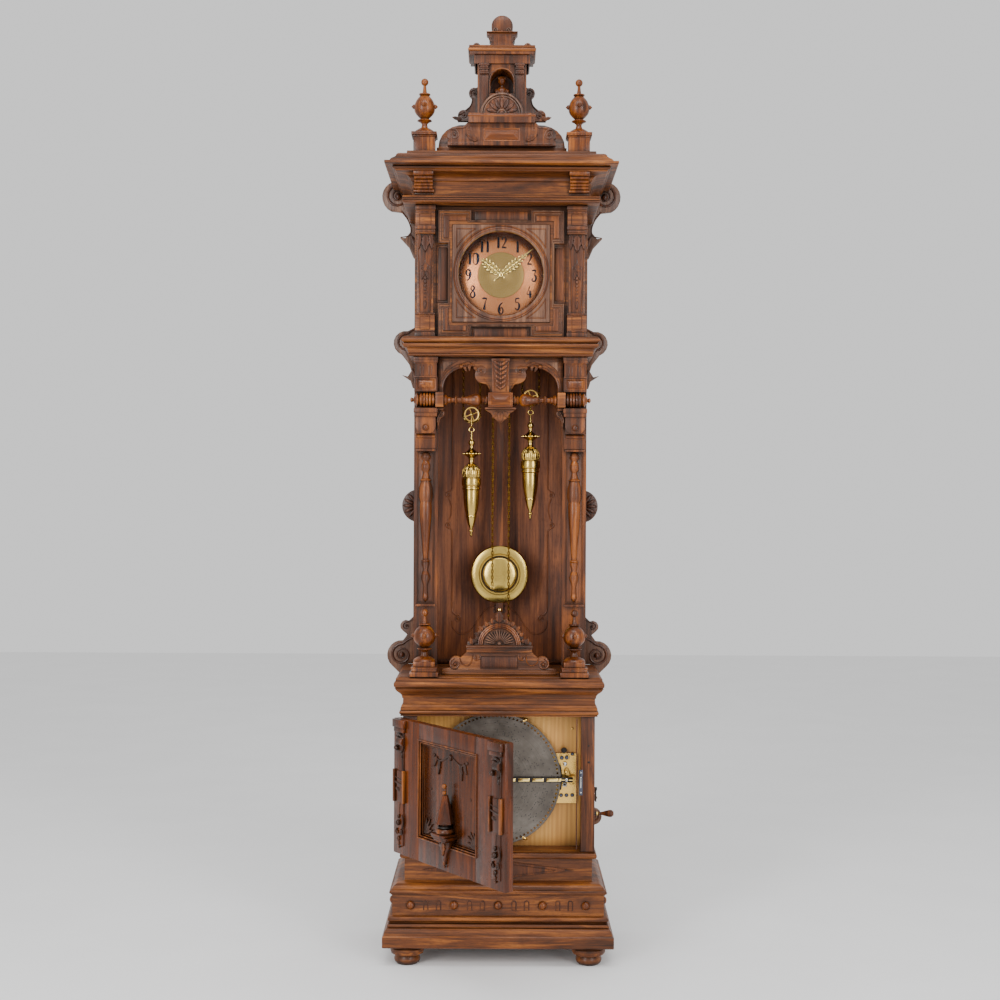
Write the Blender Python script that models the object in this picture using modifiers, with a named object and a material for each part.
"""Longcase clock with a disc music box in its base, in the Renaissance revival style.

Every place is given as x (to the right), d (forward of the wall that the back stands against)
and z (up from the floor), in metres. The drawing's y is -d. At the end the whole clock is moved
along y, so that the middle of its footprint, open door included, stands over the origin.
"""

import math

import bmesh
import bpy
from mathutils import Matrix, Vector

# Driving dimensions, in metres.
FOOT_H = 0.049
PLINTH_H = 0.240
CABINET_H = 0.353
BASE_CORNICE_H = 0.103
WAIST_H = 0.835
HOOD_CORNICE_H = 0.050
HOOD_H = 0.348
MAIN_CORNICE_H = 0.137
CORE_HALF = 0.228  # half the width of the waist and of the hood
CORE_DEPTH = 0.300  # wall to the front of the stiles
CABINET_OUT = 0.022  # the base stands out from the waist by this much, at the sides and in front
OPENING_HALF = 0.164  # half the width of the open niche in the waist
BOARD = 0.018  # thickness of the side boards
BACK = 0.012  # thickness of the back boards
STILE_T = 0.050  # how far the stiles stand in front of the side boards
GAP = 0.0003  # between pieces that touch
CLEAR = 0.0006  # between a turning piece and what it turns beside

FOOT_R = 0.044
BASE_STILE_W = 0.036
DOOR_OPEN = 55.4  # degrees, at rest
DOOR_T = 0.023
DOOR_OVERLAP = 0.003  # of the base door over the cabinet's edge, at each side
EAR_T = 0.018

DIAL_R = 0.118
GLASS_R = 0.1153
DIAL_DOOR_SIZE = 0.2556
DIAL_DOOR_T = 0.0177

MOVEMENT_BACK = 0.1243  # the movement plates' inner faces, forward of the wall
MOVEMENT_FRONT = 0.2217
MOVEMENT_FACE = 0.2260  # front of the movement's front plate
MINUTE_HAND = 0.108  # from the arbor to the tip
HOUR_HAND = 0.0745

CHAIN_PLANE = 0.190
CHAIN_R = 0.0022
CHAIN_SPARE = 0.26  # chain above the chain wheels, for the weights' fall
PULLEY_PITCH_R = 0.02275
CHAIN_WHEEL_PITCH_R = 0.01695
CHAIN_WHEEL_DROP = 0.070  # hood floor to chain wheel arbors
WEIGHT_LENGTH = 0.272
WEIGHT_R = 0.0255
LEFT_WEIGHT_X = -0.0772
RIGHT_WEIGHT_X = 0.0812
LEFT_PULLEY_FALL = 0.195  # hood floor to pulley axle
RIGHT_PULLEY_FALL = 0.148
LEFT_FREE_CHAIN = WAIST_H - 0.195  # length of the free chain end
RIGHT_FREE_CHAIN = WAIST_H - 0.095

PENDULUM_PLANE = 0.084
PENDULUM_LENGTH = 0.815  # suspension to the middle of the bob
BOB_R = 0.0800
BOB_T = 0.026
ROD_W = 0.018

DISC_R = 0.174
DISC_T = 0.0014
DISC_X = -0.010
DISC_PLANE = 0.270
SOUNDBOARD_FRONT = 0.250

CRANK_PLANE = 0.160
CRANK_ARM = 0.062

# Heights of the joints between the sections.
Z_PLINTH = FOOT_H
Z_CABINET = Z_PLINTH + PLINTH_H
Z_BASE_CORNICE = Z_CABINET + CABINET_H
Z_WAIST = Z_BASE_CORNICE + BASE_CORNICE_H
Z_HOOD_CORNICE = Z_WAIST + WAIST_H
Z_HOOD = Z_HOOD_CORNICE + HOOD_CORNICE_H
Z_MAIN_CORNICE = Z_HOOD + HOOD_H
Z_CROWN = Z_MAIN_CORNICE + MAIN_CORNICE_H

CABINET_HALF = CORE_HALF + CABINET_OUT
CABINET_FRONT = CORE_DEPTH + CABINET_OUT
SIDE_FRONT = CORE_DEPTH - STILE_T  # front edge of the side boards
STILE_FACE = SIDE_FRONT + 0.014  # front of a stile's plain board, behind its carvings
DIAL_Z = (Z_HOOD + Z_MAIN_CORNICE) / 2 - 0.004
RAIL_Z = Z_HOOD_CORNICE - 0.113
ARBOR_Z = Z_HOOD + CHAIN_WHEEL_DROP
LEFT_PULLEY_Z = Z_HOOD - LEFT_PULLEY_FALL
RIGHT_PULLEY_Z = Z_HOOD - RIGHT_PULLEY_FALL
SUSPENSION_Z = Z_HOOD + 0.185
DISC_Z = Z_CABINET + DISC_R + 0.006

COLORS = {
    "walnut": ((0.230, 0.095, 0.035), 0.45, 0.0),
    "dark_walnut": ((0.150, 0.058, 0.022), 0.45, 0.0),
    "pine": ((0.560, 0.330, 0.110), 0.60, 0.0),
    "brass": ((0.780, 0.600, 0.260), 0.30, 1.0),
    "copper": ((0.800, 0.420, 0.270), 0.28, 1.0),
    "steel": ((0.300, 0.290, 0.280), 0.35, 1.0),
    "black_iron": ((0.030, 0.028, 0.028), 0.50, 0.6),
    "glass": ((0.900, 0.930, 0.950), 0.03, 0.0),
}


def start_scene():
    """Empties the scene, and makes the clock's collection, its cutters' and its own empty."""
    for obj in list(bpy.data.objects):
        bpy.data.objects.remove(obj, do_unlink=True)
    clock = bpy.data.collections.new("music_clock")
    bpy.context.scene.collection.children.link(clock)
    shaping = bpy.data.collections.new("shaping")
    bpy.context.scene.collection.children.link(shaping)
    empty = bpy.data.objects.new("clock_frame", None)
    clock.objects.link(empty)
    return clock, shaping, empty


CLOCK, SHAPING, FRAME = start_scene()


def material(kind):
    """The named finish, made on its first use."""
    found = bpy.data.materials.get(kind)
    if found:
        return found
    color, rough, metal = COLORS[kind]
    made = bpy.data.materials.new(kind)
    made.use_nodes = True
    shader = made.node_tree.nodes["Principled BSDF"]
    shader.inputs["Base Color"].default_value = (*color, 1.0)
    shader.inputs["Roughness"].default_value = rough
    shader.inputs["Metallic"].default_value = metal
    return made


def add(name, data, kind="walnut"):
    """Puts new object data in the clock under its frame empty."""
    obj = bpy.data.objects.new(name, data)
    CLOCK.objects.link(obj)
    obj.parent = FRAME
    if data is not None and kind:
        data.materials.append(material(kind))
    return obj


def from_bmesh(name, bm, kind="walnut"):
    mesh = bpy.data.meshes.new(name)
    bm.to_mesh(mesh)
    bm.free()
    return add(name, mesh, kind)


def block(name, x, d, z, kind="walnut"):
    """A box between two values of x, of d and of z."""
    low = Vector((min(x), -max(d), min(z)))
    high = Vector((max(x), -min(d), max(z)))
    bm = bmesh.new()
    bmesh.ops.create_cube(bm, size=1.0)
    bmesh.ops.scale(bm, vec=high - low, verts=bm.verts)
    obj = from_bmesh(name, bm, kind)
    obj.location = (low + high) / 2
    return obj


def lathe(name, profile, kind="walnut", segments=16):
    """A turned piece about its own Z, from (radius, height) pairs that run from top to bottom."""
    mesh = bpy.data.meshes.new(name)
    points = [(r, 0.0, h) for r, h in profile]
    mesh.from_pydata(points, [(i, i + 1) for i in range(len(points) - 1)], [])
    obj = add(name, mesh, kind)
    screw = obj.modifiers.new("turning", "SCREW")
    screw.steps = segments
    screw.render_steps = segments
    screw.use_merge_vertices = True
    screw.merge_threshold = 0.00001
    screw.use_smooth_shade = True
    return obj


def turned(name, profile, x, d, z, kind="walnut", segments=16, along="Z"):
    """A turned piece whose height runs up (Z), to the front (D) or to the right (X)."""
    obj = lathe(name, profile, kind, segments)
    obj.location = (x, -d, z)
    if along == "D":
        obj.rotation_euler = (math.pi / 2, 0.0, 0.0)
    if along == "X":
        obj.rotation_euler = (0.0, math.pi / 2, 0.0)
    return obj


def rod(name, r, x, d, z, length, along, kind="brass", segments=12):
    """A plain round bar that starts at a point and runs up, to the front or to the right."""
    profile = [(0.0, length), (r, length), (r, 0.0), (0.0, 0.0)]
    return turned(name, profile, x, d, z, kind, segments, along)


def moulded(name, base, height, levels, half, front, back=0.0, kind="walnut"):
    """A moulding mitred round the front and both sides: (share of height, outward) levels."""

    def corners(level):
        share, out = level
        z = base + GAP + share * (height - GAP)
        wide = half + out
        return [(-wide, -front - out, z), (wide, -front - out, z), (wide, -back, z), (-wide, -back, z)]

    bm = bmesh.new()
    bottom = [bm.verts.new(p) for p in corners(levels[0])]
    floor = bm.faces.new(bottom)
    face = floor
    for level in levels[1:]:
        ring = bmesh.ops.extrude_face_region(bm, geom=[face])["geom"]
        if face is not floor:
            bmesh.ops.delete(bm, geom=[face], context="FACES_ONLY")
        face = next(item for item in ring if isinstance(item, bmesh.types.BMFace))
        places = corners(level)
        for vert in face.verts:
            side = 0 if vert.co.x < 0 else 1
            rear = vert.co.y > -(front + back) / 2
            vert.co = places[(3 - side) if rear else side]
    bmesh.ops.recalc_face_normals(bm, faces=bm.faces)
    return from_bmesh(name, bm, kind)


def arc(cx, cz, r, start, end, count):
    """Points on an arc, angles in degrees, anticlockwise when end is above start."""
    step = (end - start) / count
    angles = [math.radians(start + step * i) for i in range(count + 1)]
    return [(cx + r * math.cos(a), cz + r * math.sin(a)) for a in angles]


def mirrored(points):
    return [(-x, z) for x, z in reversed(points)]


def board(name, outline, d, kind="walnut", holes=()):
    """A flat board seen from the front, cut to a closed outline of (x, z), between two values of d."""
    curve = bpy.data.curves.new(name, "CURVE")
    curve.dimensions = "2D"
    curve.fill_mode = "BOTH"
    curve.extrude = abs(d[1] - d[0]) / 2
    for points in (outline, *holes):
        spline = curve.splines.new("POLY")
        spline.points.add(len(points) - 1)
        spline.use_cyclic_u = True
        for place, (x, z) in zip(spline.points, points):
            place.co = (x, z, 0.0, 1.0)
    obj = add(name, curve, kind)
    obj.rotation_euler = (math.pi / 2, 0.0, 0.0)
    obj.location = (0.0, -(d[0] + d[1]) / 2, 0.0)
    return obj


def as_mesh(obj):
    """The same piece as a mesh with its modifiers applied and its doubles merged."""
    bpy.context.view_layer.update()
    name = obj.name
    evaluated = obj.evaluated_get(bpy.context.evaluated_depsgraph_get())
    mesh = bpy.data.meshes.new_from_object(evaluated)
    bm = bmesh.new()
    bm.from_mesh(mesh)
    bmesh.ops.remove_doubles(bm, verts=bm.verts, dist=0.00001)
    bm.to_mesh(mesh)
    bm.free()
    place = obj.matrix_world.copy()
    bpy.data.objects.remove(obj, do_unlink=True)
    solid = bpy.data.objects.new(name, mesh)
    CLOCK.objects.link(solid)
    solid.parent = FRAME
    solid.matrix_world = place
    return solid


def shape(target, tool, operation):
    """A live Boolean on target. The tool moves to the shaping collection and isn't built."""
    CLOCK.objects.unlink(tool)
    SHAPING.objects.link(tool)
    tool.hide_render = True
    tool.display_type = "WIRE"
    cut = target.modifiers.new(operation.lower(), "BOOLEAN")
    cut.operation = operation
    cut.solver = "EXACT"
    cut.object = tool


def join(target, *pieces):
    """Unites pieces with target, which stays one body."""
    for piece in pieces:
        tool = as_mesh(piece) if piece.type == "CURVE" else piece
        shape(target, tool, "UNION")
    return target


def cut(target, *tools):
    """Takes the tools' shapes out of target."""
    for piece in tools:
        tool = as_mesh(piece) if piece.type == "CURVE" else piece
        shape(target, tool, "DIFFERENCE")
    return target


def hang_on(obj, x, d, z):
    """Makes the piece a plain mesh with its origin at the given point, on its joint's axis."""
    solid = as_mesh(obj)
    pivot = Vector((x, -d, z))
    solid.data.transform(Matrix.Translation(-pivot) @ solid.matrix_world)
    solid.matrix_world = Matrix.Translation(pivot)
    return solid


def tube(name, points, r, kind="brass"):
    """A round cord or chain along a smooth line of (x, d, z) points."""
    curve = bpy.data.curves.new(name, "CURVE")
    curve.dimensions = "3D"
    curve.bevel_depth = r
    curve.bevel_resolution = 2
    curve.use_fill_caps = True
    spline = curve.splines.new("POLY")
    spline.points.add(len(points) - 1)
    for place, (x, d, z) in zip(spline.points, points):
        place.co = (x, -d, z, 1.0)
    return add(name, curve, kind)


# ---------------------------------------------------------------- base


def make_feet():
    """Four turned bun feet under the plinth's corners."""
    bun = [
        (0.0, 1.0),
        (0.66, 1.0),
        (0.72, 0.90),
        (0.94, 0.72),
        (1.0, 0.50),
        (0.90, 0.26),
        (0.62, 0.08),
        (0.58, 0.0),
        (0.0, 0.0),
    ]
    profile = [(r * FOOT_R, h * FOOT_H) for r, h in bun]
    x = CORE_HALF + 0.008
    places = {"front": CORE_DEPTH + 0.022, "rear": FOOT_R + 0.004}
    for row, d in places.items():
        turned(f"foot_{row}_left", profile, -x, d, 0.0)
        turned(f"foot_{row}_right", profile, x, d, 0.0)


def make_plinth():
    """The moulded plinth, hollow from below, whose top is the music cabinet's floor."""
    levels = [
        (0.0, 0.0706),
        (0.14, 0.0706),
        (0.20, 0.062),
        (0.26, 0.052),
        (0.27, 0.056),
        (0.325, 0.056),
        (0.335, 0.046),
        (0.55, 0.046),
        (0.56, 0.052),
        (0.61, 0.053),
        (0.64, 0.046),
        (0.665, 0.030),
        (0.68, 0.0163),
        (0.92, 0.0163),
        (0.93, 0.024),
        (0.955, 0.0285),
        (1.0, 0.0285),
    ]
    plinth = moulded("plinth", Z_PLINTH, PLINTH_H, levels, CORE_HALF, CORE_DEPTH)
    inside = CORE_HALF - 0.028
    hollow_top = Z_CABINET - BOARD
    cut(plinth, block("plinth_hollow", (-inside, inside), (0.03, CORE_DEPTH - 0.02), (0.0, hollow_top)))


def make_music_cabinet():
    """The base's box, open at the front, whose front edges are the stiles the door closes on."""
    z = (Z_CABINET + GAP, Z_BASE_CORNICE)
    carcass = block("base_carcass", (-CABINET_HALF, CABINET_HALF), (0.0, CABINET_FRONT), z)
    inside = CABINET_HALF - BOARD
    through = (z[0] - 0.02, z[1] + 0.02)
    room = block("cabinet_room", (-inside, inside), (BACK, CABINET_FRONT - 0.020), through)
    mouth_half = CABINET_HALF - BASE_STILE_W
    mouth = block("cabinet_mouth", (-mouth_half, mouth_half), (0.1, CABINET_FRONT + 0.02), through)
    cut(carcass, room, mouth)
    slack = inside - GAP
    pine = (SOUNDBOARD_FRONT - 0.015, SOUNDBOARD_FRONT)
    block("music_soundboard", (-slack, slack), pine, (Z_CABINET + GAP, Z_BASE_CORNICE), "pine")


def make_base_cornice():
    """The moulded top of the base, hollow from below, on which the waist stands."""
    levels = [
        (0.0, 0.0283),
        (0.23, 0.0283),
        (0.27, 0.0221),
        (0.47, 0.0221),
        (0.55, 0.026),
        (0.66, 0.036),
        (0.72, 0.0453),
        (0.90, 0.0453),
        (0.93, 0.040),
        (1.0, 0.038),
    ]
    wall = EAR_T + GAP
    cornice = moulded("base_cornice", Z_BASE_CORNICE, BASE_CORNICE_H, levels, CORE_HALF, CORE_DEPTH, wall)
    inside = CABINET_HALF - BOARD
    top = Z_WAIST - BOARD
    room = (wall + BACK, CABINET_FRONT - 0.020)
    cut(cornice, block("base_cornice_hollow", (-inside, inside), room, (Z_BASE_CORNICE - 0.02, top)))


def door_point(x, d):
    """A place on the closed base door, turned about its hinge to where the open door has it."""
    hinge_x, hinge_d = door_hinge()
    turn = math.radians(DOOR_OPEN)
    across = x - hinge_x
    out = d - hinge_d
    return (
        hinge_x + across * math.cos(turn) - out * math.sin(turn),
        hinge_d + across * math.sin(turn) + out * math.cos(turn),
    )


def door_hinge():
    return (-CABINET_HALF - DOOR_OVERLAP, CABINET_FRONT + 4 * GAP)


def make_base_door():
    """The panelled door with its carved strips, hinged at the left and standing open."""
    hinge_x, hinge_d = door_hinge()
    half = CABINET_HALF + DOOR_OVERLAP
    z = (Z_CABINET + 0.002, Z_BASE_CORNICE - 0.002)
    face = hinge_d + DOOR_T
    door = block("base_door", (-half, half), (hinge_d, face), z)
    middle = (z[0] + z[1]) / 2
    panel_half = 0.130
    panel_z = (z[0] + 0.062, z[1] - 0.045)
    recess = block("door_recess", (-panel_half, panel_half), (face - 0.012, face + 0.02), panel_z)
    cut(door, recess)
    carved = []
    for side in (-1, 1):
        strip = (side * 0.192, side * 0.246)
        top_z = (z[1] - 0.034, z[1] - 0.001)
        carved.append(block("door_top_block", strip, (face - 0.004, face + 0.010), top_z))
        carved.append(
            block("door_top_scroll", strip, (face - 0.003, face + 0.013), (z[1] - 0.088, z[1] - 0.036))
        )
        carved.append(
            block("door_bar", strip, (face - 0.002, face + 0.009), (middle - 0.040, middle + 0.044))
        )
        carved.append(
            block("door_low_scroll", strip, (face - 0.005, face + 0.011), (z[0] + 0.020, z[0] + 0.095))
        )
    spire = [
        (0.0, 0.190),
        (0.010, 0.182),
        (0.010, 0.170),
        (0.004, 0.160),
        (0.012, 0.150),
        (0.026, 0.040),
        (0.020, 0.030),
        (0.030, 0.018),
        (0.030, 0.0),
        (0.0, 0.0),
    ]
    carved.append(turned("door_spire", spire, 0.0, face - 0.014, panel_z[0] + 0.006, segments=8))
    bracket_z = (z[0] + 0.014, panel_z[0] + 0.008)
    carved.append(block("door_bracket", (-0.026, 0.026), (face - 0.014, face + 0.008), bracket_z))
    join(door, *carved)
    leaf = hang_on(door, hinge_x, hinge_d, 0.0)
    leaf.rotation_euler = (0.0, 0.0, -math.radians(DOOR_OPEN))


# ---------------------------------------------------------------- waist


def side_box(name, z, mouth):
    """Back and two sides of the waist or of the hood, open at the front, at the top and below."""
    outer = CORE_HALF - GAP
    box = block(name, (-outer, outer), (0.0, SIDE_FRONT), z)
    inside = outer - BOARD
    cut(box, block(mouth, (-inside, inside), (BACK, SIDE_FRONT + 0.02), (z[0] - 0.02, z[1] + 0.02)))


def make_stile(side):
    """A front stile: cap, triglyph, console and a long panel with a turned half column."""
    label = "left" if side < 0 else "right"
    inner = OPENING_HALF + GAP
    outer = CORE_HALF - GAP
    top = Z_HOOD_CORNICE
    core = block(
        f"waist_stile_{label}",
        (side * inner, side * outer),
        (SIDE_FRONT + GAP, STILE_FACE),
        (Z_WAIST + GAP, top),
    )
    middle = side * (inner + outer) / 2
    seat = STILE_FACE - 0.003

    def step(name, half, front, z):
        return block(name, (middle - half, middle + half), (seat, front), z)

    steps = [
        step("stile_cap", 0.0312, CORE_DEPTH + 0.003, (top - 0.016, top)),
        step("stile_triglyph", 0.0290, CORE_DEPTH - 0.002, (top - 0.054, top - 0.014)),
        step("stile_diamond", 0.0305, CORE_DEPTH - 0.006, (top - 0.091, top - 0.052)),
        step("stile_console_head", 0.0300, CORE_DEPTH + 0.001, (RAIL_Z - 0.044, RAIL_Z - 0.0215)),
        step("stile_console", 0.0265, CORE_DEPTH - 0.008, (RAIL_Z - 0.088, RAIL_Z - 0.042)),
        step("stile_quarter", 0.0280, CORE_DEPTH - 0.018, (RAIL_Z - 0.128, RAIL_Z - 0.086)),
    ]
    column_top = RAIL_Z - 0.134
    column_foot = Z_WAIST + 0.187
    length = column_top - column_foot
    shares = [
        (0.0, 1.0),
        (0.010, 0.99),
        (0.014, 0.96),
        (0.007, 0.93),
        (0.012, 0.91),
        (0.012, 0.88),
        (0.007, 0.86),
        (0.018, 0.76),
        (0.019, 0.70),
        (0.011, 0.60),
        (0.007, 0.30),
        (0.011, 0.26),
        (0.007, 0.22),
        (0.013, 0.17),
        (0.006, 0.11),
        (0.008, 0.03),
        (0.0, 0.0),
    ]
    profile = [(r, share * length) for r, share in shares]
    column = turned("stile_column", profile, middle, STILE_FACE - 0.001, column_foot, segments=12)
    join(core, *steps, column)


def make_cross_rail():
    """The turned rail across the niche, with its square blocks and hanging drop."""
    outer = CORE_HALF - GAP
    core = STILE_FACE + GAP
    axis_d = core + 0.0178
    r = 0.0172
    half = [
        (0.0, 0.0),
        (0.008, 0.0),
        (0.008, 0.034),
        (0.015, 0.037),
        (0.009, 0.043),
        (0.016, 0.062),
        (0.015, 0.078),
        (0.008, 0.108),
        (0.013, 0.116),
        (0.008, 0.122),
        (0.014, 0.142),
        (0.014, 0.170),
        (0.008, 0.176),
        (0.016, 0.182),
        (0.016, 0.190),
        (0.011, 0.196),
        (r, 0.201),
        (r, 0.209),
        (0.011, 0.214),
        (0.015, 0.220),
        (0.010, 0.222),
        (0.010, 0.2275),
        (0.0, 0.2275),
    ]
    scale = outer / half[-1][1]
    right = [(radius, x * scale) for radius, x in half if x > 0]
    left = [(radius, -x) for radius, x in reversed(right)]
    profile = list(reversed(left + [(0.008, 0.0)] + right))
    rail = turned("cross_rail", profile, 0.0, axis_d, RAIL_Z, segments=12, along="X")
    square = (RAIL_Z - 0.0195, RAIL_Z + 0.0195)
    depth = (core, core + 0.037)
    blocks = [block("rail_block", (-0.034, 0.034), (core, core + 0.039), square)]
    for side in (-1, 1):
        blocks.append(block("rail_end_block", (side * 0.148, side * 0.1665), depth, square))
    drop = [(0.0, 0.045), (0.040, 0.045), (0.030, 0.034), (0.016, 0.018), (0.010, 0.006), (0.0, 0.0)]
    pendant = turned("rail_drop", drop, 0.0, axis_d, RAIL_Z - 0.058, segments=12)
    pendant.scale = (1.0, 0.42, 1.0)
    join(rail, *blocks, pendant)


def make_arch_frieze():
    """The pierced board over the rail, with two scrolled arches and a carved console between."""
    foot = RAIL_Z + 0.0195 + GAP
    top = Z_HOOD_CORNICE
    edge = OPENING_HALF
    right = [(edge, foot), (edge - 0.010, foot)]
    right += arc_between(edge - 0.012, foot + 0.012, 0.075, top - 0.022, 7)
    right += arc(0.046, top - 0.046, 0.022, 50, -70, 6)
    right += [(0.036, foot + 0.022), (0.024, foot)]
    outline = [(edge, top)] + right + mirrored(right) + [(-edge, top)]
    frieze = board("arch_frieze", outline, (STILE_FACE - 0.008, CORE_DEPTH - 0.020))
    frieze = as_mesh(frieze)
    console_d = (STILE_FACE - 0.006, CORE_DEPTH)
    console = block("frieze_console", (-0.0225, 0.0225), console_d, (foot, top - 0.004))
    join(frieze, console)


def arc_between(x0, z0, x1, z1, count):
    """A quarter of an ellipse that leaves (x0, z0) upright and reaches (x1, z1) level."""
    points = []
    for i in range(count + 1):
        turn = math.pi / 2 * i / count
        points.append((x1 + (x0 - x1) * math.cos(turn), z0 + (z1 - z0) * math.sin(turn)))
    return points


def make_niche_crest():
    """The scrolled board and leaf-edged fan at the foot of the niche."""
    base = Z_WAIST + GAP
    outline = [(-0.151, base), (0.151, base), (0.151, base + 0.014), (0.140, base + 0.016)]
    outline += arc(0.1135, base + 0.030, 0.018, -40, 130, 6)
    outline += [(0.086, base + 0.058), (0.084, base + 0.086)]
    outline += arc(0.0, base + 0.078, 0.066, 8, 172, 14)
    outline += [(-0.084, base + 0.086), (-0.086, base + 0.058)]
    outline += arc(-0.1135, base + 0.030, 0.018, 50, 220, 6)
    outline += [(-0.140, base + 0.016), (-0.151, base + 0.014)]
    crest = as_mesh(board("niche_crest", outline, (SIDE_FRONT + 0.004, SIDE_FRONT + 0.024)))
    ledge_d = (SIDE_FRONT + 0.006, SIDE_FRONT + 0.036)
    ledge = block("crest_ledge", (-0.086, 0.086), ledge_d, (base + 0.060, base + 0.076))
    foot_d = (SIDE_FRONT + 0.008, SIDE_FRONT + 0.034)
    foot = block("crest_foot", (-0.1505, 0.1505), foot_d, (base, base + 0.012))
    join(crest, ledge, foot)


def urn_profile(height, ball_r, body_r):
    """A finial from top to bottom: ball, stem, collar, egg body, disc, stem and spreading foot."""
    return [
        (0.0, height),
        (ball_r * 0.7, height - ball_r * 0.3),
        (ball_r, height - ball_r),
        (ball_r * 0.6, height - ball_r * 1.9),
        (0.0055, height * 0.80),
        (0.0070, height * 0.73),
        (0.0150, height * 0.70),
        (0.0130, height * 0.67),
        (body_r * 0.86, height * 0.60),
        (body_r, height * 0.48),
        (body_r * 0.80, height * 0.35),
        (0.0090, height * 0.26),
        (0.0180, height * 0.22),
        (0.0085, height * 0.18),
        (0.0120, height * 0.10),
        (0.0300, height * 0.02),
        (0.0300, 0.0),
        (0.0, 0.0),
    ]


def make_urn(name, x, d, base, steps, height, body_r):
    """A turned urn on a stepped square pedestal; steps are (half width, half depth, height)."""
    z = base + GAP
    first, *rest = steps
    foot = block(name, (x - first[0], x + first[0]), (d - first[1], d + first[1]), (z, z + first[2]))
    z += first[2]
    pieces = []
    for half, deep, tall in rest:
        pieces.append(block("urn_step", (x - half, x + half), (d - deep, d + deep), (z - 0.001, z + tall)))
        z += tall
    profile = urn_profile(height, 0.0092, body_r)
    pieces.append(turned("urn_body", profile, x, d, z - 0.001, segments=14))
    join(foot, *pieces)


# ---------------------------------------------------------------- hood and crown


def make_hood_cornice():
    levels = [(0.0, 0.0135), (0.25, 0.0135), (0.45, 0.021), (0.70, 0.0306), (0.95, 0.0306), (1.0, 0.027)]
    wall = EAR_T + GAP
    ring = moulded("hood_cornice", Z_HOOD_CORNICE, HOOD_CORNICE_H, levels, CORE_HALF, CORE_DEPTH, wall)
    inside = CORE_HALF - BOARD
    z = (Z_HOOD_CORNICE - 0.02, Z_HOOD + 0.02)
    cut(ring, block("hood_cornice_room", (-inside, inside), (wall + BACK, SIDE_FRONT + 0.012), z))


def make_seat_board():
    """The shelf that carries the movement, slotted for the chains and for the pendulum."""
    inside = CORE_HALF - BOARD - GAP
    z = (Z_HOOD - 0.030, Z_HOOD - 0.015)
    shelf = block("seat_board", (-inside, inside), (EAR_T + BACK + 2 * GAP, SIDE_FRONT - 0.010), z, "pine")
    past = (z[0] - 0.02, z[1] + 0.02)
    chains = block("chain_slot", (-0.122, 0.126), (CHAIN_PLANE - 0.018, CHAIN_PLANE + 0.018), past)
    swing = block("pendulum_slot", (-0.040, 0.040), (PENDULUM_PLANE - 0.030, PENDULUM_PLANE + 0.016), past)
    cut(shelf, chains, swing)


def make_hood_front():
    """The hood's front: tapered pilasters, and a stepped frame round the dial door."""
    outer = CORE_HALF - GAP
    z = (Z_HOOD + GAP, Z_MAIN_CORNICE)
    plate = (SIDE_FRONT + GAP, CORE_DEPTH - 0.028)
    front = block("hood_front", (-outer, outer), plate, z)
    door_half = DIAL_DOOR_SIZE / 2 + 3 * GAP
    hole_half = DIAL_R + 0.003
    hole_z = (DIAL_Z - hole_half, DIAL_Z + hole_half)
    pieces = []
    for side in (-1, 1):
        middle = side * (CORE_HALF - 0.029)
        column = (middle - 0.0255, middle + 0.0255)
        seat = plate[1] - 0.003
        pieces.append(block("pilaster_foot", column, (seat, CORE_DEPTH), (z[0] + 0.001, z[0] + 0.062)))
        shaft = (middle - 0.021, middle + 0.021)
        shaft_z = (z[0] + 0.060, z[1] - 0.074)
        pieces.append(block("pilaster_shaft", shaft, (seat, CORE_DEPTH - 0.008), shaft_z))
        pieces.append(block("pilaster_head", column, (seat, CORE_DEPTH), (z[1] - 0.076, z[1] - 0.001)))
    corner = 0.1655
    notch = 0.079
    near = door_half + 0.008
    frame_d = (plate[1] - 0.003, CORE_DEPTH - 0.013)
    span = (DIAL_Z - corner, DIAL_Z + corner)
    surround = block("dial_surround", (-corner, corner), frame_d, span)
    past = (frame_d[0] - 0.01, frame_d[1] + 0.01)
    for side in (-1, 1):
        edge = (side * near, side * (corner + 0.01))
        level = (DIAL_Z - notch, DIAL_Z + notch)
        cut(surround, block("side_notch", edge, past, level))
        high = (DIAL_Z + side * near, DIAL_Z + side * (corner + 0.01))
        cut(surround, block("end_notch", (-notch, notch), past, high))
    join(front, *pieces, surround)
    door_hole = (-door_half, door_half)
    seat = (plate[1] - 2 * GAP, CORE_DEPTH + 0.02)
    door_z = (DIAL_Z - door_half, DIAL_Z + door_half)
    cut(front, block("dial_door_seat", door_hole, seat, door_z))
    cut(front, block("dial_hole", (-hole_half, hole_half), (SIDE_FRONT - 0.02, CORE_DEPTH), hole_z))


def make_main_cornice():
    """The great cornice and its frieze, hollow from below so the chains can rise into it."""
    levels = [
        (0.0, 0.0295),
        (0.14, 0.0295),
        (0.16, 0.005),
        (0.43, 0.005),
        (0.48, 0.012),
        (0.54, 0.028),
        (0.58, 0.045),
        (0.62, 0.052),
        (0.665, 0.060),
        (0.675, 0.074),
        (0.72, 0.074),
        (0.74, 0.060),
        (0.80, 0.049),
        (0.86, 0.049),
        (0.88, 0.0197),
        (1.0, 0.0197),
    ]
    wall = EAR_T + GAP
    cornice = moulded("main_cornice", Z_MAIN_CORNICE, MAIN_CORNICE_H, levels, CORE_HALF, CORE_DEPTH, wall)
    inside = CORE_HALF - BOARD
    top = Z_CROWN - 0.013
    room = (wall + BACK, SIDE_FRONT + 0.010)
    cut(cornice, block("main_cornice_room", (-inside, inside), room, (Z_MAIN_CORNICE - 0.02, top)))


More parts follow.
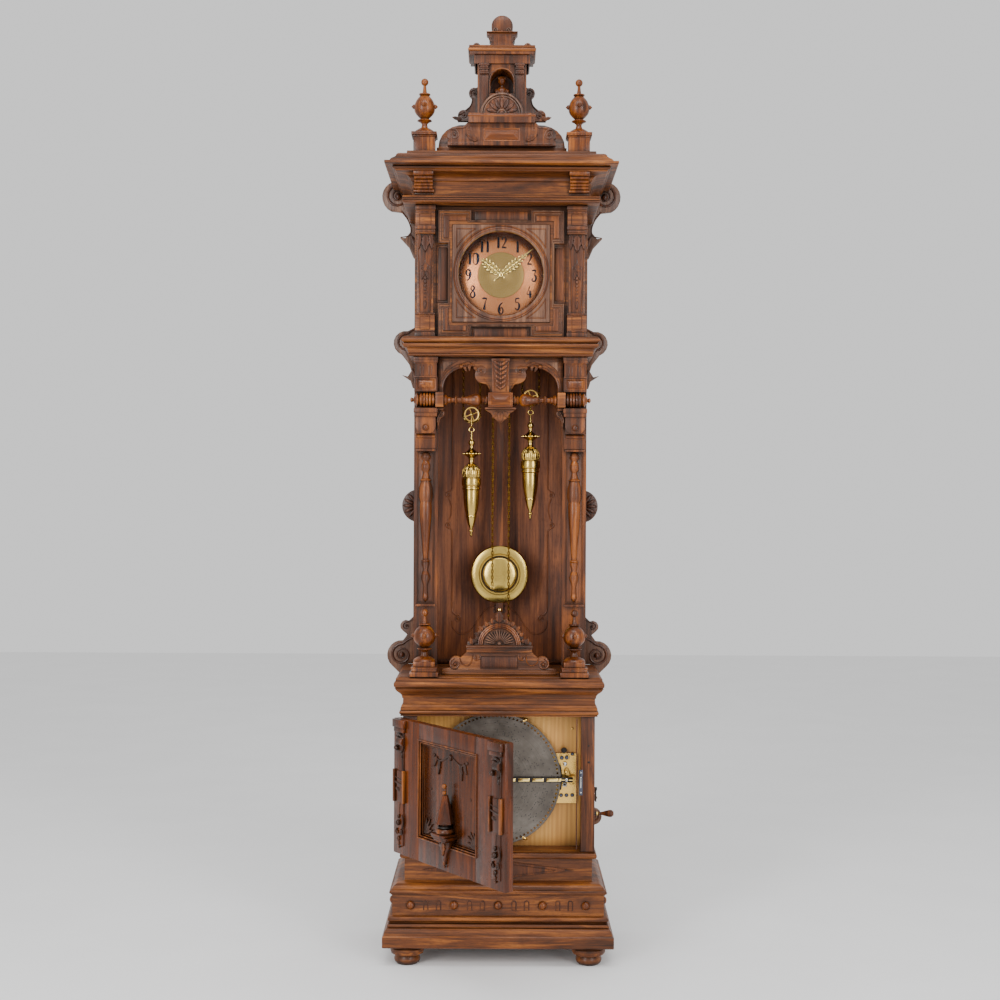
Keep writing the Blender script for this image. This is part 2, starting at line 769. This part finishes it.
def make_crown_dome():
    """The domed roof on its board, notched for the little tower that stands in front of it."""
    base = 0.022
    rise = 0.082
    spread = 0.094
    height = base + rise
    out = 0.0075
    levels = [(0.0, out), (0.10, out), (0.11, 0.004), (base / height, 0.004), (base / height + 0.005, 0.0)]
    for i in range(1, 8):
        turn = math.pi / 2 * i / 7
        levels.append(((base + rise * math.sin(turn)) / height, -spread * (1 - math.cos(turn))))
    dome = moulded("crown_dome", Z_CROWN, height, levels, 0.168, 0.252, 0.030)
    notch = block("tower_notch", (-0.0935, 0.0935), (0.160, 0.40), (Z_CROWN + base + 0.004, Z_CROWN + 0.2))
    cut(dome, notch)


def make_crown_tower():
    """The pediment: scrolled board, ledge, fan, and a little tower with a niche and a shell."""
    base = Z_CROWN + 0.0225 + GAP
    low = as_mesh(board("crown_tower", crown_scrolls(base), (0.2605, 0.282)))
    ledge = block("tower_ledge", (-0.0875, 0.0875), (0.166, 0.292), (base + 0.058, base + 0.083))
    neck = block("tower_neck", (-0.080, 0.080), (0.166, 0.272), (base + 0.010, base + 0.060))
    body_z = (base + 0.080, base + 0.221)
    body = block("tower_body", (-0.0647, 0.0647), (0.175, 0.262), body_z)
    fan_outline = arc(0.0, base + 0.081, 0.058, 0, 180, 14)
    fan = board("tower_fan", fan_outline, (0.258, 0.280))
    frieze = block("tower_frieze", (-0.0735, 0.0735), (0.168, 0.270), (base + 0.219, base + 0.243))
    cornice = block("tower_cornice", (-0.0845, 0.0845), (0.160, 0.281), (base + 0.241, base + 0.264))
    wings = board("tower_wings", tower_wings(base + 0.080), (0.200, 0.216))
    cap = board("tower_cap", tower_cap(base + 0.262), (0.205, 0.235))
    join(low, neck, ledge, body, fan, wings, frieze, cornice, cap)
    niche = [(-0.0304, base + 0.142)] + arc(0.0, base + 0.176, 0.0304, 180, 0, 8) + [(0.0304, base + 0.142)]
    cut(low, board("tower_niche", niche, (0.200, 0.30)))


def crown_scrolls(base):
    """Outline of the board under the tower: flat below, with a volute at each end."""
    right = [(0.142, base), (0.142, base + 0.010)]
    right += arc(0.126, base + 0.028, 0.018, -50, 120, 6)
    right += [(0.100, base + 0.050), (0.090, base + 0.060)]
    return right + mirrored(right)


def tower_wings(foot):
    """Outline of the two lobed brackets that spread from the tower's sides."""
    right = [(0.118, foot), (0.118, foot + 0.010)]
    right += arc(0.102, foot + 0.014, 0.016, 0, 110, 5)
    right += [(0.084, foot + 0.038), (0.078, foot + 0.060)]
    right += arc(0.074, foot + 0.075, 0.0145, -60, 110, 6)
    right += [(0.050, foot + 0.100)]
    return right + mirrored(right)


def tower_cap(foot):
    """Outline of the cap: small scrolls, hollow shoulders, a block and a round shell."""
    right = [(0.078, foot), (0.078, foot + 0.003)]
    right += arc(0.068, foot + 0.012, 0.010, -30, 150, 6)
    right += [(0.050, foot + 0.006), (0.036, foot + 0.012), (0.026, foot + 0.024)]
    right += [(0.034, foot + 0.028), (0.034, foot + 0.040), (0.041, foot + 0.045), (0.041, foot + 0.0505)]
    right += [(0.024, foot + 0.0505)]
    right += arc(0.0, foot + 0.066, 0.0285, -30, 80, 8)
    return right + mirrored(right)


# ---------------------------------------------------------------- ears


def make_ears():
    """The fretted boards that stand out at the sides, against the wall."""
    side = CORE_HALF + GAP
    base_side = CABINET_HALF + GAP
    hood_top = Z_MAIN_CORNICE + 0.120
    hood = [(side, hood_top), (side, hood_top - 0.225), (side + 0.018, hood_top - 0.214)]
    hood += [(side + 0.030, hood_top - 0.186), (side + 0.056, hood_top - 0.158)]
    hood += [(side + 0.040, hood_top - 0.160), (side + 0.024, hood_top - 0.140)]
    hood += [(side + 0.026, hood_top - 0.116)]
    hood += [(side + 0.048, hood_top - 0.088)]
    hood += arc(side + 0.062, hood_top - 0.044, 0.044, -65, 90, 9)
    shoulder_z = Z_HOOD
    shoulder = [(side, shoulder_z + 0.064), (side, shoulder_z - 0.115), (side + 0.018, shoulder_z - 0.112)]
    shoulder += [(side + 0.024, shoulder_z - 0.092), (side + 0.048, shoulder_z - 0.076)]
    shoulder += [(side + 0.032, shoulder_z - 0.080), (side + 0.022, shoulder_z - 0.064)]
    shoulder += [(side + 0.028, shoulder_z - 0.046)]
    shoulder += arc(side + 0.038, shoulder_z + 0.014, 0.034, -70, 100, 8)
    foot_z = Z_WAIST + 0.060
    foot = [(side, foot_z + 0.085), (side, Z_WAIST + GAP)]
    foot += [(base_side + 0.006, Z_WAIST + GAP), (base_side + 0.006, foot_z - 0.150)]
    foot += [(base_side + 0.020, foot_z - 0.150), (base_side + 0.030, foot_z - 0.128)]
    foot += [(base_side + 0.022, foot_z - 0.105), (base_side + 0.030, foot_z - 0.085)]
    foot += arc(side + 0.046, foot_z - 0.035, 0.040, -50, 95, 8)
    foot += [(side + 0.030, foot_z + 0.022)]
    foot += arc(side + 0.034, foot_z + 0.046, 0.016, -60, 120, 5)
    low_z = Z_CABINET
    low = [(base_side, low_z + 0.133), (base_side, low_z + 0.001)]
    low += [(base_side + 0.004, low_z + 0.001)]
    low += arc(base_side + 0.016, low_z + 0.030, 0.023, -80, 80, 8)
    low += [(base_side + 0.012, low_z + 0.066), (base_side + 0.027, low_z + 0.082)]
    low += [(base_side + 0.014, low_z + 0.100), (base_side + 0.008, low_z + 0.120)]
    shapes = {"hood": hood, "shoulder": shoulder, "foot": foot, "base": low}
    for name, outline in shapes.items():
        board(f"ear_{name}_right", outline, (0.0, EAR_T), "dark_walnut")
        board(f"ear_{name}_left", mirrored(outline), (0.0, EAR_T), "dark_walnut")


# ---------------------------------------------------------------- clock works


def make_movement():
    """Two plates on four pillars, with the cock that the pendulum hangs from."""
    foot = Z_HOOD - 0.015 + GAP
    half = 0.088
    back = (0.120, MOVEMENT_BACK - GAP)
    front = (MOVEMENT_FRONT + GAP, MOVEMENT_FACE)
    top = SUSPENSION_Z + 0.020
    frame = block("movement_frame", (-half, half), back, (foot, top), "brass")
    pieces = [block("front_plate", (-half, half), front, (foot, top), "brass")]
    for x in (-0.078, 0.078):
        for z in (foot + 0.012, top - 0.012):
            pieces.append(rod("pillar", 0.005, x, back[0] + 0.001, z, front[1] - back[0] - 0.002, "D"))
    cock_d = (PENDULUM_PLANE - 0.008, back[1] - 0.001)
    cock = block("cock", (-0.014, 0.014), cock_d, (SUSPENSION_Z + 0.006, top - 0.001), "brass")
    join(frame, *pieces, cock)


def wheel_and_arbor(name, x, z, rim_d, rim_t, rim_r, arbor_r, kind="brass"):
    """A wheel on an arbor that reaches from plate to plate."""
    start = MOVEMENT_BACK + GAP
    end = MOVEMENT_FRONT - GAP
    near = rim_d - rim_t / 2 - start
    far = rim_d + rim_t / 2 - start
    length = end - start
    profile = [
        (0.0, length),
        (arbor_r, length),
        (arbor_r, far),
        (rim_r, far),
        (rim_r, near),
        (arbor_r, near),
        (arbor_r, 0.0),
        (0.0, 0.0),
    ]
    return turned(name, profile, x, start, z, kind, 24, "D")


def make_trains():
    """Chain wheels, escape wheel and anchor, between the plates."""
    rim = CHAIN_WHEEL_PITCH_R - CHAIN_R - CLEAR
    for label, x in (("left", LEFT_WEIGHT_X), ("right", RIGHT_WEIGHT_X)):
        inward = -1 if x > 0 else 1
        centre = x + inward * (PULLEY_PITCH_R + CHAIN_WHEEL_PITCH_R)
        wheel_and_arbor(f"chain_wheel_{label}", centre, ARBOR_Z, CHAIN_PLANE, 0.010, rim, 0.003)
    wheel_and_arbor("escape_wheel", 0.0, SUSPENSION_Z - 0.044, 0.1415, 0.003, 0.020, 0.002)
    anchor_z = SUSPENSION_Z
    arms = [(-0.021, anchor_z - 0.0215), (-0.015, anchor_z - 0.0215), (-0.012, anchor_z - 0.010)]
    arms += [(0.012, anchor_z - 0.010), (0.015, anchor_z - 0.0215), (0.021, anchor_z - 0.0215)]
    arms += [(0.018, anchor_z + 0.002), (0.0, anchor_z + 0.007), (-0.018, anchor_z + 0.002)]
    anchor = as_mesh(board("anchor", arms, (0.140, 0.143), "steel"))
    start = MOVEMENT_BACK + GAP
    length = MOVEMENT_FRONT - GAP - start
    join(anchor, rod("anchor_arbor", 0.002, 0.0, start, anchor_z, length, "D", "steel"))
    hang_on(anchor, 0.0, 0.1415, anchor_z)


def make_pendulum():
    """A wooden rod and a brass bob, hung from the cock."""
    bob_z = SUSPENSION_Z - PENDULUM_LENGTH
    half = ROD_W / 2
    thin = 0.004
    tip = bob_z - BOB_R - 0.022
    rod_d = (PENDULUM_PLANE - thin, PENDULUM_PLANE + thin)
    stick = block("pendulum_rod", (-half, half), rod_d, (tip, SUSPENSION_Z - 0.004), "walnut")
    spring_d = (PENDULUM_PLANE - 0.001, PENDULUM_PLANE + 0.001)
    spring_z = (SUSPENSION_Z - 0.006, SUSPENSION_Z + 0.0055)
    spring = block("pendulum_spring", (-0.004, 0.004), spring_d, spring_z, "steel")
    join(stick, spring)
    hang_on(stick, 0.0, PENDULUM_PLANE, SUSPENSION_Z)
    profile = [
        (0.0, BOB_T / 2),
        (BOB_R * 0.55, BOB_T * 0.44),
        (BOB_R * 0.90, BOB_T * 0.22),
        (BOB_R, 0.0),
        (BOB_R * 0.90, -BOB_T * 0.22),
        (BOB_R * 0.55, -BOB_T * 0.44),
        (0.0, -BOB_T / 2),
    ]
    bob = turned("pendulum_bob", profile, 0.0, PENDULUM_PLANE, bob_z, "brass", 28, "D")
    slot = (half + GAP, thin + GAP)
    channel_d = (PENDULUM_PLANE - slot[1], PENDULUM_PLANE + slot[1])
    channel_z = (bob_z - 2.5 * BOB_R, bob_z + 2.5 * BOB_R)
    channel = block("bob_channel", (-slot[0], slot[0]), channel_d, channel_z)
    cut(bob, channel)
    hang_on(bob, 0.0, PENDULUM_PLANE, SUSPENSION_Z)


def make_weight(label, x, axle_z, free_length):
    """A weight with its hook, the pulley it hangs from, its chain loop and its free chain."""
    pulley_r = PULLEY_PITCH_R - CHAIN_R - CLEAR
    pulley_half = 0.005
    profile = [(0.0, 0.0072), (0.0026, 0.0072), (0.0026, pulley_half), (pulley_r, pulley_half)]
    profile += [(pulley_r, -pulley_half), (0.0026, -pulley_half), (0.0026, -0.0072), (0.0, -0.0072)]
    turned(f"pulley_{label}", profile, x, CHAIN_PLANE, axle_z, "brass", 24, "D")
    cheek = (0.0072 + GAP, 0.0095)
    hook_low = axle_z - PULLEY_PITCH_R - 0.014
    hook_d = (CHAIN_PLANE - cheek[1], CHAIN_PLANE + cheek[1])
    hook = block(f"weight_{label}", (x - 0.004, x + 0.004), hook_d, (hook_low, hook_low + 0.007), "brass")
    sides = []
    for sign in (-1, 1):
        depth = (CHAIN_PLANE + sign * cheek[0], CHAIN_PLANE + sign * cheek[1])
        cheek_z = (hook_low + 0.001, axle_z + 0.005)
        sides.append(block("hook_cheek", (x - 0.0038, x + 0.0038), depth, cheek_z, "brass"))
    body_top = hook_low - 0.006
    shares = [
        (0.0, 1.0),
        (0.003, 1.0),
        (0.003, 0.975),
        (0.010, 0.965),
        (0.010, 0.945),
        (0.022, 0.935),
        (0.022, 0.915),
        (0.009, 0.90),
        (0.012, 0.87),
        (0.021, 0.845),
        (0.0235, 0.80),
        (0.018, 0.755),
        (0.0255, 0.745),
        (0.0255, 0.715),
        (0.021, 0.700),
        (0.023, 0.665),
        (0.014, 0.20),
        (0.012, 0.10),
        (0.004, 0.045),
        (0.006, 0.02),
        (0.0, 0.0),
    ]
    length = WEIGHT_LENGTH + 0.010
    profile = [(r * WEIGHT_R / 0.0255, s * length) for r, s in shares]
    body = turned("weight_body", profile, x, CHAIN_PLANE, body_top + 0.010 - length, "brass", 16)
    join(hook, *sides, body)
    top = Z_HOOD - 0.030 + CHAIN_SPARE
    bend = arc(x, axle_z, PULLEY_PITCH_R, 180, 360, 12)
    loop = [(x - PULLEY_PITCH_R, top)] + bend + [(x + PULLEY_PITCH_R, top)]
    tube(f"chain_loop_{label}", [(px, CHAIN_PLANE, pz) for px, pz in loop], CHAIN_R)
    inward = -1 if x > 0 else 1
    free_x = x + inward * (PULLEY_PITCH_R + 2 * CHAIN_WHEEL_PITCH_R)
    free_top = Z_HOOD - 0.026
    free_line = [(free_x, CHAIN_PLANE, free_top), (free_x, CHAIN_PLANE, free_top - free_length)]
    tube(f"chain_end_{label}", free_line, CHAIN_R)


def make_dial():
    """The dial on its three feet, with a hole for the hands' arbors."""
    plate = [(0.0, 0.004), (DIAL_R, 0.004), (DIAL_R, 0.0), (0.0, 0.0)]
    dial = turned("dial", plate, 0.0, SIDE_FRONT + 0.0045, DIAL_Z, "copper", 40, "D")
    feet = []
    start = MOVEMENT_FACE + GAP
    for turn in (90, 210, 330):
        x = 0.080 * math.cos(math.radians(turn))
        z = DIAL_Z + 0.080 * math.sin(math.radians(turn)) * 0.35
        feet.append(rod("dial_foot", 0.003, x, start, z, SIDE_FRONT + 0.0065 - start, "D"))
    join(dial, *feet)
    cut(dial, rod("dial_bore", 0.0085, 0.0, SIDE_FRONT, DIAL_Z, 0.02, "D"))


def hand_outline(length, tail, width):
    """A leaf-shaped hand pointing up from the origin."""
    return [
        (-0.0015, length),
        (-width * 0.30, length * 0.80),
        (-width, length * 0.62),
        (-width * 0.35, length * 0.40),
        (-width * 0.80, length * 0.22),
        (-0.0095, 0.0),
        (-0.003, -tail),
        (0.003, -tail),
        (0.0095, 0.0),
        (width * 0.80, length * 0.22),
        (width * 0.35, length * 0.40),
        (width, length * 0.62),
        (width * 0.30, length * 0.80),
        (0.0015, length),
    ]


def make_hand(name, length, tail, width, clock_angle, depth, pipe, bore):
    """A hand at its angle in degrees past twelve, with its pipe or arbor running back."""
    turn = math.radians(-clock_angle)
    points = []
    for x, z in hand_outline(length, tail, width):
        across = x * math.cos(turn) - z * math.sin(turn)
        up = x * math.sin(turn) + z * math.cos(turn)
        points.append((across, DIAL_Z + up))
    hand = as_mesh(board(name, points, depth, "brass"))
    start = pipe[0]
    join(hand, rod("hand_pipe", pipe[1], 0.0, start, DIAL_Z, depth[1] - 0.0005 - start, "D"))
    if bore:
        cut(hand, rod("hand_bore", bore, 0.0, start - 0.01, DIAL_Z, 0.05, "D"))
    hang_on(hand, 0.0, depth[0], DIAL_Z)


def make_dial_door():
    """The glazed square door over the dial, with a round opening."""
    half = DIAL_DOOR_SIZE / 2
    back = CORE_DEPTH - 0.028 + 2 * GAP
    depth = (back, back + DIAL_DOOR_T)
    z = (DIAL_Z - half, DIAL_Z + half)
    door = block("dial_door", (-half, half), depth, z)
    sight = GLASS_R - 0.003
    cut(door, rod("glass_rebate", GLASS_R, 0.0, back - 0.01, DIAL_Z, 0.010 + 0.0085, "D", segments=40))
    cut(door, rod("sight_hole", sight, 0.0, back - 0.01, DIAL_Z, 0.06, "D", segments=40))
    hang_on(door, -half, depth[1], DIAL_Z)
    pane = rod("dial_glass", GLASS_R - GAP, 0.0, back + 0.0050, DIAL_Z, 0.0030, "D", "glass", 40)
    hang_on(pane, -half, depth[1], DIAL_Z)


def make_gong():
    """A coil gong on its block, on the hood's back board."""
    curve_points = []
    x0 = 0.135
    z0 = Z_HOOD + 0.180
    for i in range(25):
        turn = math.radians(90 + 300 * i / 24)
        curve_points.append((x0 + 0.048 * math.cos(turn), 0.034, z0 + 0.048 * math.sin(turn)))
    coil = as_mesh(tube("gong", curve_points, 0.0025, "steel"))
    stand_d = (BACK + GAP, 0.040)
    stand = block("gong_block", (x0 - 0.014, x0 + 0.010), stand_d, (z0 + 0.040, z0 + 0.058), "black_iron")
    join(coil, stand)


# ---------------------------------------------------------------- music works


def make_music_works():
    """Bedplate with its spindle, the tune disc, and the pressure bar hinged at the left."""
    bed = (SOUNDBOARD_FRONT + GAP, SOUNDBOARD_FRONT + 0.0035)
    plate = block("bedplate", (-0.2085, 0.2085), bed, (DISC_Z - 0.066, DISC_Z + 0.066), "brass")
    spindle = rod("spindle", 0.0045, DISC_X, bed[0] + 0.001, DISC_Z, 0.0225, "D")
    collar = rod("collar", 0.012, DISC_X, bed[0] + 0.001, DISC_Z, DISC_PLANE - bed[0] - 0.0016, "D")
    hinge_x = -0.1965
    post = rod("bar_post", 0.004, hinge_x, bed[0] + 0.001, DISC_Z - 0.016, 0.0255, "D")
    catch_d = (bed[0] + 0.001, DISC_PLANE + 0.003)
    catch = block("bar_catch", (0.186, 0.200), catch_d, (DISC_Z - 0.008, DISC_Z + 0.008), "brass")
    join(plate, spindle, collar, post, catch)
    face = [(0.0, DISC_T), (DISC_R, DISC_T), (DISC_R, 0.0), (0.0, 0.0)]
    disc = turned("music_disc", face, DISC_X, DISC_PLANE, DISC_Z, "steel", 64, "D")
    cut(disc, rod("disc_bore", 0.0045 + CLEAR, DISC_X, DISC_PLANE - 0.02, DISC_Z, 0.05, "D"))
    bar_d = (DISC_PLANE + 0.0060, DISC_PLANE + 0.0110)
    bar_z = (DISC_Z - 0.0045, DISC_Z + 0.0045)
    bar = block("pressure_bar", (hinge_x - 0.003, 0.196), bar_d, bar_z, "brass")
    eye = rod("bar_eye", 0.0055, hinge_x, DISC_PLANE + 0.0085, DISC_Z - 0.010, 0.020, "Z")
    join(bar, eye)
    hang_on(bar, hinge_x, DISC_PLANE + 0.0085, DISC_Z)


def make_crank():
    """The winding handle on the cabinet's right side: shaft, arm and turned grip."""
    x = CABINET_HALF + GAP
    axis_z = Z_CABINET + 0.068 + CRANK_ARM
    hub = [(0.0, 0.010), (0.009, 0.010), (0.010, 0.008), (0.010, 0.001), (0.0, 0.001)]
    crank = turned("winding_crank", hub, x, CRANK_PLANE, axis_z, "brass", 14, "X")
    arm_x = (x + 0.002, x + 0.0075)
    arm_d = (CRANK_PLANE - 0.0055, CRANK_PLANE + 0.0055)
    arm = block("crank_arm", arm_x, arm_d, (axis_z - CRANK_ARM - 0.006, axis_z), "brass")
    grip = [(0.0, 0.062), (0.006, 0.061), (0.0095, 0.055), (0.0098, 0.048), (0.006, 0.032), (0.0038, 0.020)]
    grip += [(0.0062, 0.014), (0.0055, 0.009), (0.003, 0.006), (0.0, 0.006)]
    handle = turned("crank_grip", grip, x, CRANK_PLANE, axis_z - CRANK_ARM, "walnut", 14, "X")
    join(crank, arm, handle)
    hang_on(crank, x, CRANK_PLANE, axis_z)


def make_stop_lever():
    """The start and stop lever on the cabinet's right side."""
    x = CABINET_HALF + GAP
    z = Z_CABINET + 0.156
    pivot_d = CABINET_FRONT - 0.050
    hub = [(0.0, 0.009), (0.0045, 0.009), (0.0045, 0.0), (0.0, 0.0)]
    lever = turned("stop_lever", hub, x, pivot_d, z, "black_iron", 12, "X")
    arm_d = (pivot_d - 0.003, pivot_d + 0.003)
    arm = block("stop_arm", (x + 0.004, x + 0.0075), arm_d, (z - 0.034, z), "black_iron")
    join(lever, arm)
    hang_on(lever, x, pivot_d, z)


def centre_over_origin():
    """Moves the clock along y until the middle of its footprint stands over the origin."""
    tip = max(door_point(CABINET_HALF + DOOR_OVERLAP, door_hinge()[1] + out)[1] for out in (0.0, DOOR_T))
    carved = max(door_point(0.246, door_hinge()[1] + DOOR_T + 0.013)[1], tip)
    FRAME.location = (0.0, carved / 2, 0.0)


def make_clock():
    make_feet()
    make_plinth()
    make_music_cabinet()
    make_base_cornice()
    make_base_door()
    side_box("waist_carcass", (Z_WAIST + GAP, Z_HOOD_CORNICE), "waist_room")
    make_stile(-1)
    make_stile(1)
    make_cross_rail()
    make_arch_frieze()
    make_niche_crest()
    make_hood_cornice()
    make_seat_board()
    side_box("hood_carcass", (Z_HOOD + GAP, Z_MAIN_CORNICE), "hood_room")
    make_hood_front()
    make_main_cornice()
    make_crown_dome()
    make_crown_tower()
    low_steps = [(0.042, 0.0375, 0.020), (0.034, 0.034, 0.018)]
    high_steps = [(0.0280, 0.0280, 0.044), (0.0365, 0.0340, 0.010)]
    for side, label in ((-1, "left"), (1, "right")):
        middle = side * (OPENING_HALF + CORE_HALF) / 2
        make_urn(f"urn_lower_{label}", middle, STILE_FACE + 0.0385, Z_WAIST, low_steps, 0.137, 0.0285)
        make_urn(f"urn_upper_{label}", side * 0.2035, 0.270, Z_CROWN, high_steps, 0.148, 0.0275)
    make_ears()
    make_movement()
    make_trains()
    make_pendulum()
    make_weight("left", LEFT_WEIGHT_X, LEFT_PULLEY_Z, LEFT_FREE_CHAIN)
    make_weight("right", RIGHT_WEIGHT_X, RIGHT_PULLEY_Z, RIGHT_FREE_CHAIN)
    make_dial()
    face = SIDE_FRONT + 0.0085
    hour_d = (face + 0.0020, face + 0.0038)
    make_hand("hour_hand", HOUR_HAND, 0.010, 0.0085, -51.5, hour_d, (face - 0.006, 0.0075), 0.0040)
    minute_d = (face + 0.0050, face + 0.0066)
    make_hand("minute_hand", MINUTE_HAND, 0.022, 0.0075, 50.5, minute_d, (MOVEMENT_FACE + GAP, 0.0032), 0.0)
    make_dial_door()
    make_gong()
    make_music_works()
    make_crank()
    make_stop_lever()
    centre_over_origin()


make_clock()
